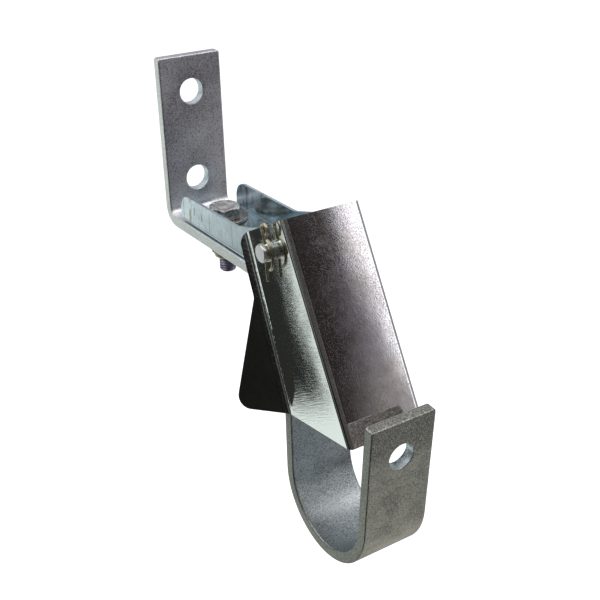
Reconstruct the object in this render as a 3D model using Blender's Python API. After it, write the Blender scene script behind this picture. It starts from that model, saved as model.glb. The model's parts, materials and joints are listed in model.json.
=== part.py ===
"""Spring-gate hook bracket: a flat bar bent into a wall leg, an arm and a J hook with a sprung gate.

The frame: +X across the bar, +Y into the wall, +Z up. The origin is on the back face of the wall leg, midway
between its two holes. The dimensions below are in millimetres, and MM turns them into metres.
"""

import math

import bmesh
import bpy
from mathutils import Vector

MM = 0.001
GAP = 0.3  # left between pieces that rest on each other

# The bar
BAR_WIDTH = 38.1
BAR_THICK = 6.35
BAR_EDGE = 0.5
BEND_INSIDE = 4.5
WALL_TOP = 46.0
WALL_HOLE_SPACING = 50.8
MOUNT_HOLE_RADIUS = 7.15
ARM_TOP = -44.45
HOOK_BACK = -126.25  # rear face of the hook's back leg
HOOK_INSIDE = 29.4  # inner radius of the hook
HOOK_CENTRE_Z = -151.9
HOOK_TURN = math.radians(175)
HOOK_TIP = 64.0  # straight run of the front leg
TIP_HOLE_DOWN = 21.0

# The channel on the arm
SHEET = 1.9
CHANNEL_REAR = -20.3
CHANNEL_FRONT = -140.0
CHANNEL_BEND = 3.0
FLANGE_TOP = -27.3
EAR_RISE_Y = -84.0  # where the flanges start to rise
EAR_TOP = -15.3
EAR_EDGE = 3.0  # the stop edge above the pin, along the web

# The pivot and the gate
PIN_Y = -126.0
PIN_Z = -25.7
PIN_RADIUS = 4.76
PIN_HOLE_RADIUS = 5.1
PIN_FREE_END = -29.5
PIN_GRIP_END = 22.8
PIN_HEAD = (6.35, 3.2)  # radius and thickness
GATE_LEAN = math.radians(28.6)  # the closed gate's web from the vertical
GATE_HALF = 22.5
GATE_BEND = 3.0
GATE_TOP = 12.0  # from the pin up to the gate's top edge, along the web
GATE_TIP = 101.5  # from the pin down to the web's lower edge
PIN_TO_WEB = 18.5  # from the pin to the web's front face
WING_ANGLE = math.radians(40)
WING_BEND = 5.0
WING_TOP_WIDTH = 4.2
WING_CORNER = (29.0, 44.6)  # across and along the fold, before its corner is rounded

# The bolt through channel and arm
BOLT_Y = -37.0
BOLT_RADIUS = 5.0
BOLT_HOLE_RADIUS = 5.5
BOLT_END = -73.4
HEX_FLATS = 17.0
HEAD_HEIGHT = 6.4
HEX_CHAMFER = 1.0
WASHER = (5.4, 12.9, 1.6)  # inner radius, outer radius, thickness
NUT_HEX = 8.0
NUT_COLLAR = (7.6, 3.4)  # radius and height of the round collar
INSERT = (5.15, 6.1, 1.9)  # inner radius, outer radius, height

# The hairpin clip and the torsion spring
CLIP_X = -26.2
CLIP_WIRE = 0.8
CLIP_LEAN = math.radians(5)
CLIP_LOOP = (-11.8, 1.0, 2.7)  # down and forward from the pin, and radius
SPRING_WIRE = 1.0
SPRING_RADIUS = 6.4
SPRING_HALF = 7.0
SPRING_TURNS = 5
SPRING_REAR_LEG = (math.radians(50.2), 31.0)  # direction of the coil's end, and length
SPRING_FRONT_LEG = (math.radians(120.6), 19.5)  # short, so that it stays above the channel's web

ROUND = 32  # sides of a round piece

ZINC = (0.62, 0.66, 0.68)
GATE_ZINC = (0.55, 0.57, 0.57)
YELLOW_ZINC = (0.52, 0.49, 0.36)
SPRING_STEEL = (0.35, 0.35, 0.34)
NYLON = (0.06, 0.07, 0.10)


def clear_scene():
    for obj in list(bpy.data.objects):
        bpy.data.objects.remove(obj, do_unlink=True)


def material(name, colour, roughness, metallic=1.0):
    made = bpy.data.materials.new(name)
    made.use_nodes = True
    shader = made.node_tree.nodes["Principled BSDF"]
    shader.inputs["Base Color"].default_value = (*colour, 1.0)
    shader.inputs["Roughness"].default_value = roughness
    shader.inputs["Metallic"].default_value = metallic
    made.diffuse_color = (*colour, 1.0)
    return made


def place(name, data, look=None):
    obj = bpy.data.objects.new(name, data)
    bpy.context.scene.collection.objects.link(obj)
    if look:
        obj.data.materials.append(look)
    return obj


def mesh_object(name, bm, look=None, smooth=True):
    mesh = bpy.data.meshes.new(name)
    bm.to_mesh(mesh)
    bm.free()
    if smooth:
        mesh.shade_smooth()
        mesh.set_sharp_from_angle(angle=math.radians(35))
    return place(name, mesh, look)


def prism(name, outline, low, high, to_point, look=None):
    """A closed outline of (a, b) pairs, carried from low to high; to_point(a, b, h) gives the point in mm."""
    bm = bmesh.new()
    base = bm.faces.new([bm.verts.new(Vector(to_point(a, b, low)) * MM) for a, b in outline])
    grown = bmesh.ops.extrude_face_region(bm, geom=[base])
    top = [v for v in grown["geom"] if isinstance(v, bmesh.types.BMVert)]
    reach = Vector(to_point(0, 0, high)) - Vector(to_point(0, 0, low))
    bmesh.ops.translate(bm, verts=top, vec=reach * MM)
    bmesh.ops.recalc_face_normals(bm, faces=bm.faces)
    return mesh_object(name, bm, look)


def across_x(a, b, h):
    return (h, a, b)


def up_z(a, b, h):
    return (a, b, h)


def along_y(a, b, h):
    return (a, h, b)


def turned(name, profile, sides=ROUND, look=None):
    """A closed (radius, height) profile in mm, turned about the object's own Z axis."""
    bm = bmesh.new()
    rings = []
    for radius, height in profile:
        if radius == 0:
            rings.append([bm.verts.new((0, 0, height * MM))])
            continue
        ring = []
        for i in range(sides):
            angle = 2 * math.pi * i / sides
            point = Vector((radius * math.cos(angle), radius * math.sin(angle), height))
            ring.append(bm.verts.new(point * MM))
        rings.append(ring)
    pairs = list(zip(rings, rings[1:] + rings[:1]))
    for lower, upper in pairs:
        for i in range(sides):
            j = (i + 1) % sides
            near, far = (i % len(lower), j % len(lower)), (j % len(upper), i % len(upper))
            corners = [lower[near[0]], lower[near[1]], upper[far[0]], upper[far[1]]]
            corners = list(dict.fromkeys(corners))
            if len(corners) > 2:
                bm.faces.new(corners)
    bmesh.ops.recalc_face_normals(bm, faces=bm.faces)
    return mesh_object(name, bm, look)


def boolean(target, other, operation="DIFFERENCE"):
    other.hide_render = True
    other.display_type = "WIRE"
    made = target.modifiers.new(other.name, "BOOLEAN")
    made.operation = operation
    made.solver = "EXACT"
    made.object = other


def rod(name, radius, length, sides=ROUND):
    """A plain cylinder about its own Z axis, centred on its origin."""
    half = length / 2
    return turned(name, [(0, -half), (radius, -half), (radius, half), (0, half)], sides)


def set_mm(obj, x, y, z, turn=(0, 0, 0)):
    obj.location = Vector((x, y, z)) * MM
    obj.rotation_euler = turn
    return obj


def rounded(corners, steps=5):
    """(a, b, radius) corners of a closed outline, each radius drawn as an arc."""
    points = []
    for i, (a, b, radius) in enumerate(corners):
        here = Vector((a, b))
        before = (Vector(corners[i - 1][:2]) - here).normalized()
        after = (Vector(corners[(i + 1) % len(corners)][:2]) - here).normalized()
        if radius == 0:
            points.append((a, b))
            continue
        half = before.angle(after) / 2
        reach = radius / math.tan(half)
        centre = here + (before + after).normalized() * radius / math.sin(half)
        start = here + before * reach - centre
        end = here + after * reach - centre
        sweep = start.angle_signed(end)
        for k in range(steps + 1):
            angle = -sweep * k / steps
            turn = Vector((
                start.x * math.cos(angle) - start.y * math.sin(angle),
                start.x * math.sin(angle) + start.y * math.cos(angle),
            ))
            points.append(tuple(centre + turn))
    return points


def bar_outline():
    """The bar's side view: a centre line of runs and bends, offset by half the thickness to each side."""
    half = BAR_THICK / 2
    middle = BEND_INSIDE + half
    arm_z = ARM_TOP - half
    leg_y = HOOK_BACK - half
    run = [
        ("line", WALL_TOP - arm_z - middle),
        ("bend", middle, -math.pi / 2, 6),
        ("line", -half - middle - (leg_y + middle)),
        ("bend", middle, math.pi / 2, 6),
        ("line", arm_z - middle - HOOK_CENTRE_Z),
        ("bend", HOOK_INSIDE + half, -HOOK_TURN, 20),
        ("line", HOOK_TIP),
    ]
    point = Vector((-half, WALL_TOP))
    heading = -math.pi / 2
    stations = [(point.copy(), heading)]
    for move in run:
        if move[0] == "line":
            point = point + Vector((math.cos(heading), math.sin(heading))) * move[1]
            stations.append((point.copy(), heading))
            continue
        _, radius, turn, steps = move
        side = math.copysign(1, turn)
        centre = point + Vector((-math.sin(heading), math.cos(heading))) * radius * side
        for _ in range(steps):
            heading += turn / steps
            point = centre - Vector((-math.sin(heading), math.cos(heading))) * radius * side
            stations.append((point.copy(), heading))
    left = [tuple(p + Vector((-math.sin(h), math.cos(h))) * half) for p, h in stations]
    right = [tuple(p - Vector((-math.sin(h), math.cos(h))) * half) for p, h in stations]
    return left + right[::-1], stations[-1]


def make_bar(look):
    outline, (tip, heading) = bar_outline()
    bar = prism("hook_bar", outline, -BAR_WIDTH / 2, BAR_WIDTH / 2, across_x, look)
    edge = bar.modifiers.new("edge", "BEVEL")
    edge.width = BAR_EDGE * MM
    edge.segments = 1
    edge.limit_method = "ANGLE"
    edge.angle_limit = math.radians(60)
    flat = (math.pi / 2, 0, 0)
    for name, z in (("upper_hole", WALL_HOLE_SPACING / 2), ("lower_hole", -WALL_HOLE_SPACING / 2)):
        boolean(bar, set_mm(rod(name, MOUNT_HOLE_RADIUS, 20), 0, -BAR_THICK / 2, z, flat))
    boolean(bar, set_mm(rod("arm_hole", BOLT_HOLE_RADIUS, 20), 0, BOLT_Y, ARM_TOP - BAR_THICK / 2))
    hole = tip - Vector((math.cos(heading), math.sin(heading))) * TIP_HOLE_DOWN
    boolean(bar, set_mm(rod("tip_hole", MOUNT_HOLE_RADIUS, 20), 0, hole.x, hole.y, (heading, 0, 0)))


def channel_section():
    """Cross-section (x, z) of the channel: a web with two flanges, drawn taller than they end up."""
    base = ARM_TOP + GAP
    half = BAR_WIDTH / 2
    high = EAR_TOP + 15
    inner = half - SHEET
    outer_corners = [
        (-half, high, 0),
        (-half, base, CHANNEL_BEND),
        (half, base, CHANNEL_BEND),
        (half, high, 0),
    ]
    inner_bend = CHANNEL_BEND - SHEET
    inner_corners = [
        (inner, high, 0),
        (inner, base + SHEET, inner_bend),
        (-inner, base + SHEET, inner_bend),
        (-inner, high, 0),
    ]
    return rounded(outer_corners + inner_corners, 3)


def channel_side():
    """Side view (y, z) of the flanges: low at the rear, rising to the ears that hold the pin."""
    stop = PIN_TO_WEB - SHEET - GAP
    front = Vector((-math.cos(GATE_LEAN), math.sin(GATE_LEAN)))
    up = Vector((math.sin(GATE_LEAN), math.cos(GATE_LEAN)))
    pin = Vector((PIN_Y, PIN_Z))
    upper = pin + front * stop + up * EAR_EDGE
    nose = []
    for k in range(4):
        angle = GATE_LEAN * k / 3
        nose.append((*(pin + Vector((-math.cos(angle), math.sin(angle))) * stop), 0))
    return rounded(
        [
            (CHANNEL_REAR, ARM_TOP - 2, 0),
            (CHANNEL_REAR, FLANGE_TOP, 9.5),
            (EAR_RISE_Y, FLANGE_TOP, 20.0),
            (PIN_Y - 2, EAR_TOP, 8.0),
            (upper.x, upper.y, 0),
            *reversed(nose),
            (CHANNEL_FRONT, PIN_Z - 10, 0),
            (CHANNEL_FRONT, ARM_TOP - 2, 0),
        ]
    )


def make_channel(look):
    channel = prism("pivot_channel", channel_section(), CHANNEL_REAR, CHANNEL_FRONT - 5, along_y, look)
    boolean(channel, prism("side_shape", channel_side(), -30, 30, across_x), "INTERSECT")
    across = (0, math.pi / 2, 0)
    boolean(channel, set_mm(rod("ear_holes", PIN_HOLE_RADIUS, 60), 0, PIN_Y, PIN_Z, across))
    boolean(channel, set_mm(rod("channel_bolt_hole", BOLT_HOLE_RADIUS, 10), 0, BOLT_Y, ARM_TOP))


class GateBlank:
    """The gate as a flat blank and its folds. q runs across the blank, s down it from the pin, both in mm."""

    bend_start = GATE_HALF - GATE_BEND
    bend_arc = GATE_BEND * math.pi / 2
    side_start = bend_start + bend_arc
    wing_point = (44.4, 29.8)  # behind the web's front face, and below the pin
    wing_slope = math.radians(5.9)
    wing_arc = WING_BEND * WING_ANGLE

    def __init__(self):
        self.down = Vector((math.sin(self.wing_slope), math.cos(self.wing_slope)))
        self.out = Vector((self.down.y, -self.down.x))

    def on_blank(self, behind):
        """q of a place on the side panel, given how far it is behind the web's front face."""
        return self.side_start + behind - GATE_BEND

    def wing(self, across, along):
        """Blank coordinates of a place on the wing, measured from its fold."""
        base = Vector((self.on_blank(self.wing_point[0]), self.wing_point[1]))
        return tuple(base + self.out * across + self.down * along)

    def outline(self):
        """Half of the blank, from the top middle round to the bottom middle, as rounded() takes it."""
        top_rear = self.wing(WING_TOP_WIDTH, -43.0)
        return [
            (self.bend_start, -GATE_TOP, 0),
            (top_rear[0], top_rear[1], 6.5),
            (*self.wing(WING_TOP_WIDTH, -10.0), 5.0),
            (*self.wing(*WING_CORNER), 7.0),
            (self.on_blank(0), GATE_TIP, 0),
        ]

    def fold(self, q, s):
        """The folded place, as (x, behind the web's front face, s)."""
        side = math.copysign(1, q)
        q = abs(q)
        if q <= self.bend_start:
            return side * q, 0.0, s
        if q < self.side_start:
            angle = (q - self.bend_start) / GATE_BEND
            x = self.bend_start + GATE_BEND * math.sin(angle)
            return side * x, GATE_BEND * (1 - math.cos(angle)), s
        x = GATE_HALF
        place = Vector((GATE_BEND + q - self.side_start, s))
        base = Vector(self.wing_point)
        across = (place - base).dot(self.out)
        along = (place - base).dot(self.down)
        past = across + self.wing_arc / 2
        if past > 0:
            angle = min(past, self.wing_arc) / WING_BEND
            straight = max(past - self.wing_arc, 0)
            across = -self.wing_arc / 2 + WING_BEND * math.sin(angle) + straight * math.cos(WING_ANGLE)
            x += WING_BEND * (1 - math.cos(angle)) + straight * math.sin(WING_ANGLE)
            place = base + self.out * across + self.down * along
        return side * x, place.x, place.y


def make_gate(look):
    blank = GateBlank()
    half = rounded(blank.outline() + [(0, GATE_TIP, 0), (0, -GATE_TOP, 0)], 6)[:-2]
    loop = half + [(-q, s) for q, s in reversed(half)]
    bm = bmesh.new()
    bm.faces.new([bm.verts.new((q, 0, -s)) for q, s in reversed(loop)])
    web_steps, wing_steps = 4, 3
    cuts = []
    for side in (1, -1):
        for k in range(web_steps + 1):
            q = blank.bend_start + blank.bend_arc * k / web_steps
            cuts.append(((side * q, 0, 0), (side, 0, 0)))
        for k in range(wing_steps + 1):
            q, s = blank.wing(-blank.wing_arc / 2 + blank.wing_arc * k / wing_steps, 0)
            cuts.append(((side * q, 0, -s), (side * blank.out.x, 0, -blank.out.y)))
    for point, normal in cuts:
        geometry = bm.verts[:] + bm.edges[:] + bm.faces[:]
        bmesh.ops.bisect_plane(bm, geom=geometry, dist=1e-5, plane_co=point, plane_no=normal)
    for vert in bm.verts:
        x, behind, s = blank.fold(vert.co.x, -vert.co.z)
        vert.co = Vector((x, behind - PIN_TO_WEB, -s)) * MM
    bm.normal_update()
    gate = set_mm(mesh_object("gate", bm, look), 0, PIN_Y, PIN_Z, (-GATE_LEAN, 0, 0))
    sheet = gate.modifiers.new("sheet", "SOLIDIFY")
    sheet.thickness = SHEET * MM
    sheet.offset = -1
    sheet.use_even_offset = True
    across = (0, math.pi / 2, 0)
    boolean(gate, set_mm(rod("gate_pin_holes", PIN_HOLE_RADIUS, 60), 0, PIN_Y, PIN_Z, across))


def make_pin(look):
    head_radius, head_thick = PIN_HEAD
    profile = [
        (0, PIN_FREE_END),
        (PIN_RADIUS - 0.8, PIN_FREE_END),
        (PIN_RADIUS, PIN_FREE_END + 0.8),
        (PIN_RADIUS, PIN_GRIP_END),
        (head_radius, PIN_GRIP_END),
        (head_radius, PIN_GRIP_END + head_thick - 0.6),
        (head_radius - 0.6, PIN_GRIP_END + head_thick),
        (0, PIN_GRIP_END + head_thick),
    ]
    pin = set_mm(turned("clevis_pin", profile, look=look), 0, PIN_Y, PIN_Z, (0, math.pi / 2, 0))
    clip_hole = rod("clip_hole", CLIP_WIRE + 0.25, 16, 16)
    boolean(pin, set_mm(clip_hole, CLIP_X, PIN_Y, PIN_Z, (-CLIP_LEAN, 0, 0)))


def smooth_run(points, steps):
    """Points along a Catmull-Rom curve through the given ones."""
    ends = [points[0] * 2 - points[1], *points, points[-1] * 2 - points[-2]]
    found = []
    for p0, p1, p2, p3 in zip(ends, ends[1:], ends[2:], ends[3:]):
        for k in range(steps):
            t = k / steps
            slope = (p2 - p0) * t
            square = (2 * p0 - 5 * p1 + 4 * p2 - p3) * t**2
            cube = (3 * p1 - p0 - 3 * p2 + p3) * t**3
            found.append(0.5 * (2 * p1 + slope + square + cube))
    return [*found, points[-1]]


def wire(name, points, radius, look, sides_step=1):
    """A round wire along points in mm, as a curve with a bevel and closed ends."""
    data = bpy.data.curves.new(name, "CURVE")
    data.dimensions = "3D"
    data.bevel_depth = radius * MM
    data.bevel_resolution = sides_step
    data.use_fill_caps = True
    spline = data.splines.new("POLY")
    spline.points.add(len(points) - 1)
    for place_in, point in zip(spline.points, points):
        place_in.co = (*(Vector(point) * MM), 1)
    return place(name, data, look)


def make_clip(look):
    """The hairpin clip, drawn as (down, forward) from the pin's centre in the plane of its cross hole.

    It is a straight leg through the pin, a loop above it, a waist, and a bent leg that hugs the pin.
    """
    loop_down, loop_forward, loop_radius = CLIP_LOOP
    loop = []
    for degrees in range(215, -61, -25):
        angle = math.radians(degrees)
        down = loop_down - loop_radius * math.sin(angle)
        loop.append((down, loop_forward + loop_radius * math.cos(angle)))
    straight = [(15.0, 0), (8.0, 0), (0, 0), (-6.5, 0)]
    waist = [(-7.0, 2.3), (-5.2, 4.7)]
    hug = [(-2.4, 6.3), (1.2, 6.6), (4.8, 6.1), (7.4, 4.5), (8.4, 2.6)]
    keys = straight + loop + waist + hug
    down = Vector((0, -math.sin(CLIP_LEAN), -math.cos(CLIP_LEAN)))
    forward = Vector((0, -math.cos(CLIP_LEAN), math.sin(CLIP_LEAN)))
    centre = Vector((CLIP_X, PIN_Y, PIN_Z))
    wire("hairpin_clip", smooth_run([centre + down * a + forward * b for a, b in keys], 3), CLIP_WIRE, look)


def make_spring(look):
    """The torsion spring on the pin: one leg on the channel's web behind, one on the gate's web in front."""
    first, rear_leg = SPRING_REAR_LEG
    last, front_leg = SPRING_FRONT_LEG
    turn = last - first + SPRING_TURNS * 2 * math.pi
    steps = 16 * SPRING_TURNS + 4

    def at(angle, x, run=0.0):
        y = SPRING_RADIUS * math.cos(angle) - run * math.sin(angle)
        z = SPRING_RADIUS * math.sin(angle) + run * math.cos(angle)
        return (x, PIN_Y + y, PIN_Z + z)

    points = [at(first, -SPRING_HALF, -rear_leg)]
    for k in range(steps + 1):
        points.append(at(first + turn * k / steps, SPRING_HALF * (2 * k / steps - 1)))
    points.append(at(last, SPRING_HALF, front_leg))
    wire("torsion_spring", points, SPRING_WIRE, look)


def hexagon(name, flats):
    radius = flats / math.sqrt(3)
    angles = [math.pi * k / 3 for k in range(6)]
    corners = [(radius * math.cos(angle), radius * math.sin(angle)) for angle in angles]
    return prism(name, corners, BOLT_END - 10, 0, up_z)


def make_bolt(bolt_look, nut_look, insert_look):
    washer_in, washer_out, washer_thick = WASHER
    corner = HEX_FLATS / math.sqrt(3)
    flat = HEX_FLATS / 2
    washer_low = ARM_TOP + GAP + SHEET + GAP
    head_low = washer_low + washer_thick + GAP
    head_top = head_low + HEAD_HEIGHT
    bolt = turned(
        "arm_bolt",
        [
            (0, BOLT_END),
            (BOLT_RADIUS - 1.0, BOLT_END),
            (BOLT_RADIUS, BOLT_END + 1.0),
            (BOLT_RADIUS, head_low),
            (corner, head_low),
            (corner, head_top - HEX_CHAMFER),
            (flat - 0.4, head_top),
            (0, head_top),
        ],
        look=bolt_look,
    )
    boolean(set_mm(bolt, 0, BOLT_Y, 0), set_mm(hexagon("head_hex", HEX_FLATS), 0, BOLT_Y, 0), "INTERSECT")
    lower_washer = ARM_TOP - BAR_THICK - GAP - washer_thick
    for name, low in (("head_washer", washer_low), ("nut_washer", lower_washer)):
        high = low + washer_thick
        ring = [(washer_in, low), (washer_out, low), (washer_out, high), (washer_in, high)]
        set_mm(turned(name, ring, look=bolt_look), 0, BOLT_Y, 0)
    collar, collar_height = NUT_COLLAR
    nut_top = lower_washer - GAP
    nut_low = nut_top - NUT_HEX - collar_height
    bore = BOLT_RADIUS + 0.15
    pocket = INSERT[1] + 0.1
    nut = turned(
        "lock_nut",
        [
            (bore, nut_top),
            (flat, nut_top),
            (corner, nut_top - HEX_CHAMFER),
            (corner, nut_top - NUT_HEX + HEX_CHAMFER),
            (flat, nut_top - NUT_HEX),
            (collar, nut_top - NUT_HEX),
            (collar, nut_low + 0.8),
            (collar - 0.8, nut_low),
            (collar - 1.3, nut_low),
            (collar - 1.3, nut_low + 0.6),
            (pocket, nut_low + 0.6),
            (pocket, nut_low + 0.6 + INSERT[2] + 0.3),
            (bore, nut_low + 0.6 + INSERT[2] + 0.3),
        ],
        look=nut_look,
    )
    boolean(set_mm(nut, 0, BOLT_Y, 0), bpy.data.objects["head_hex"], "INTERSECT")
    insert_low = nut_low + 0.75
    insert_high = insert_low + INSERT[2]
    inner, outer = INSERT[:2]
    ring = [(inner, insert_low), (outer, insert_low), (outer, insert_high), (inner, insert_high)]
    set_mm(turned("nut_insert", ring, look=insert_look), 0, BOLT_Y, 0)


def main():
    clear_scene()
    zinc = material("bar_zinc", ZINC, 0.35)
    gate_zinc = material("gate_zinc", GATE_ZINC, 0.2)
    fastener = material("fastener_zinc", ZINC, 0.3)
    yellow = material("nut_zinc", YELLOW_ZINC, 0.4)
    spring = material("spring_wire", SPRING_STEEL, 0.35)
    nylon = material("nut_nylon", NYLON, 0.5, 0.0)
    make_bar(zinc)
    make_channel(zinc)
    make_gate(gate_zinc)
    make_pin(fastener)
    make_clip(yellow)
    make_spring(spring)
    make_bolt(fastener, yellow, nylon)


main()
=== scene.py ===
"""The looks of the spring-gate hook bracket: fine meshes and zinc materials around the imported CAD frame."""

import json
import math

import bmesh
import bpy
from mathutils import Matrix, Vector

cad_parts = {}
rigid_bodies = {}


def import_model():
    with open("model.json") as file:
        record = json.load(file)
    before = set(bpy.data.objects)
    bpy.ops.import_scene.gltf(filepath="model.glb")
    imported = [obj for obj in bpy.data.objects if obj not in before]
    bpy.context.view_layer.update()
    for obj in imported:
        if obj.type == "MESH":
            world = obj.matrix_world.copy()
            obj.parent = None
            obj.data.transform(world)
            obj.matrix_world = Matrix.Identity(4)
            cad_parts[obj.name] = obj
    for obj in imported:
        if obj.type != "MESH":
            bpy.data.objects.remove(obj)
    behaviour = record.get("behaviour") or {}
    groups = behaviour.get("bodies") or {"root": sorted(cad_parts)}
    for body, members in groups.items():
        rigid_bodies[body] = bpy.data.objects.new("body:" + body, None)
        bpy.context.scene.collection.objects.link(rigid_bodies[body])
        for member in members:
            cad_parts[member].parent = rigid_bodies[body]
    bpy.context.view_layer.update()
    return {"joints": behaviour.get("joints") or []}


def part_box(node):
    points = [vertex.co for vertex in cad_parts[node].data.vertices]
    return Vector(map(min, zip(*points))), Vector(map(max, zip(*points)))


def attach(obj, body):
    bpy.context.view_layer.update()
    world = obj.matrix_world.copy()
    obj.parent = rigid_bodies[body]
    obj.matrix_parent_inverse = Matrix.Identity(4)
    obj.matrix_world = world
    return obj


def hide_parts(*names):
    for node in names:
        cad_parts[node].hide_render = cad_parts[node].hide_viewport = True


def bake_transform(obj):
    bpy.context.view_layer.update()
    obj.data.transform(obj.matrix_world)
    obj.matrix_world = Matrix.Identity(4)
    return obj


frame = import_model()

MM = 0.001


def box_mm(node):
    """A CAD node's lowest and highest corner, in millimetres."""
    low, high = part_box(node)
    return low / MM, high / MM


BAR_LOW, BAR_HIGH = box_mm("hook_bar")
CHANNEL_LOW, CHANNEL_HIGH = box_mm("pivot_channel")
PIN_LOW, PIN_HIGH = box_mm("clevis_pin")
BOLT_LOW, BOLT_HIGH = box_mm("arm_bolt")
PIN = Vector(frame["joints"][0]["pos_m"]) / MM
BOLT_Y = (BOLT_LOW.y + BOLT_HIGH.y) / 2
CLIP_X = sum(corner.x for corner in box_mm("hairpin_clip")) / 2

# The bar, in millimetres
BAR_THICK = 6.35
BAR_EDGE = 0.9
CORNER_ROUND = 1.6  # the rounded corners of the bar's two ends
CORNER_STEPS = 20
HOOK_STEPS = 96
BEND_INSIDE = 4.5
WALL_HOLE_Z = 25.4
MOUNT_HOLE_RADIUS = 7.15
ARM_TOP = -44.45
HOOK_BACK = -126.25
HOOK_INSIDE = 29.4
HOOK_CENTRE_Z = -151.9
HOOK_TURN = math.radians(175)
HOOK_TIP = 64.0
TIP_HOLE_DOWN = 21.0

# The channel
SHEET = 1.9
SHEET_EDGE = 0.3
REST_GAP = 0.3  # left between two pieces that rest on each other
CHANNEL_BASE = ARM_TOP + REST_GAP
CHANNEL_BEND = 3.0
FLANGE_TOP = -27.3
FLANGE_END_ROUND = 9.5
FLANGE_SPARE = 15  # how far the flanges are drawn past their tops before they are cut to shape
EAR_RISE_Y = -84.0
EAR_RISE_ROUND = 20.0
EAR_BACK = 2  # how far behind the pin's axis the ear's top begins
EAR_TOP = -15.3
EAR_TOP_ROUND = 8.0
EAR_EDGE = 3.0
CHANNEL_FRONT = -140.0
CHANNEL_SPARE = 5

# The gate
PIN_HOLE_RADIUS = 5.1
GATE_LEAN = math.radians(28.6)
GATE_HALF = 22.5
GATE_BEND = 3.0
GATE_TOP = 12.0
GATE_TIP = 101.5
PIN_TO_WEB = 18.5
WING_ANGLE = math.radians(40)
WING_BEND = 5.0
WING_TOP_WIDTH = 4.2
WING_TOP = -43.0  # these three are measured along the wing's fold, from its middle point
WING_FLARE = -10.0
WING_CORNER = (29.0, 44.6)
FOLD_STEPS = 8

# The fasteners
BOLT_HOLE_RADIUS = 5.5
THREAD_RADIUS = 4.9
THREAD_PITCH = 1.5
THREAD_DEPTH = 0.55
HEX_FLATS = 17.0
HEAD_HEIGHT = 6.4
THREAD_SHARP = math.radians(55)
THREAD_ROWS = 12  # for each turn
THREAD_SIDES = 72
THREAD_RUNOUT = 1.2  # the length of the taper at the bolt's end
THREAD_END_CUT = 1.1
SHANK_CUT = 0.2
SHANK_LENGTH = 6
THREAD_OVERLAP = 0.5  # how far the thread reaches into the shank
HEX_SPARE = 2
WASHER_IN = 5.4
WASHER_EDGE = 0.35
COLLAR_RADIUS = 7.6
COLLAR_HEIGHT = 3.4
INSERT_IN = THREAD_RADIUS + 0.15
INSERT_EDGE = 0.4
PIN_RADIUS = 4.76
PIN_HEAD = 3.2
THROUGH = 30  # half the length of a cutter that goes through everything along the pin's axis
CLIP_WIRE = 0.8
CLIP_LEAN = math.radians(5)
CLIP_LOOP = (-11.8, 1.0, 2.7)
CLIP_HOLE_GAP = 0.25
CLIP_HOLE_REACH = 8
WIRE_SHARP = math.radians(50)
WIRE_END_CUT = 0.35  # parts of the wire's radius
WIRE_END_RADIUS = 0.7
SPRING_WIRE = 1.0
SPRING_RADIUS = 6.4
SPRING_HALF = 7.0
SPRING_TURNS = 5
SPRING_STEPS = 40  # for each turn
SPRING_REAR_LEG = (math.radians(50.2), 31.0)
SPRING_FRONT_LEG = (math.radians(120.6), 19.5)

# The camera
CAMERA_AT = (-0.2517, -0.51425, 0.16535)
CAMERA_AZIMUTH = math.radians(32.19)
CAMERA_DOWN = math.radians(25.82)
CAMERA_ROLL = math.radians(-1.69)
CAMERA_LENS = 60.456
CAMERA_SENSOR = 36
CAMERA_NEAR = 0.01


# ---------------------------------------------------------------- shapes


def place(name, data, look):
    obj = bpy.data.objects.new(name, data)
    bpy.context.scene.collection.objects.link(obj)
    if look:
        obj.data.materials.append(look)
    return obj


def mesh_object(name, bm, look=None):
    mesh = bpy.data.meshes.new(name)
    bm.to_mesh(mesh)
    bm.free()
    mesh.shade_smooth()
    return place(name, mesh, look)


def prism(name, outline, low, high, to_point, look=None):
    """A closed outline of (a, b) pairs, carried from low to high. to_point(a, b, h) is in mm."""
    bm = bmesh.new()
    base = bm.faces.new([bm.verts.new(Vector(to_point(a, b, low)) * MM) for a, b in outline])
    grown = bmesh.ops.extrude_face_region(bm, geom=[base])
    top = [v for v in grown["geom"] if isinstance(v, bmesh.types.BMVert)]
    reach = Vector(to_point(0, 0, high)) - Vector(to_point(0, 0, low))
    bmesh.ops.translate(bm, verts=top, vec=reach * MM)
    bmesh.ops.recalc_face_normals(bm, faces=bm.faces)
    return mesh_object(name, bm, look)


def across_x(a, b, h):
    return (h, a, b)


def up_z(a, b, h):
    return (a, b, h)


def along_y(a, b, h):
    return (a, h, b)


def turned(name, profile, sides=96, look=None):
    """A closed (radius, height) profile in mm, turned about the object's own Z axis."""
    bm = bmesh.new()
    rings = []
    for radius, height in profile:
        if radius == 0:
            rings.append([bm.verts.new((0, 0, height * MM))])
            continue
        ring = []
        for i in range(sides):
            angle = 2 * math.pi * i / sides
            point = Vector((radius * math.cos(angle), radius * math.sin(angle), height))
            ring.append(bm.verts.new(point * MM))
        rings.append(ring)
    for lower, upper in zip(rings, rings[1:] + rings[:1]):
        for i in range(sides):
            j = (i + 1) % sides
            corners = [lower[i % len(lower)], lower[j % len(lower)]]
            corners += [upper[j % len(upper)], upper[i % len(upper)]]
            corners = list(dict.fromkeys(corners))
            if len(corners) > 2:
                bm.faces.new(corners)
    bmesh.ops.recalc_face_normals(bm, faces=bm.faces)
    return mesh_object(name, bm, look)


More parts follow.
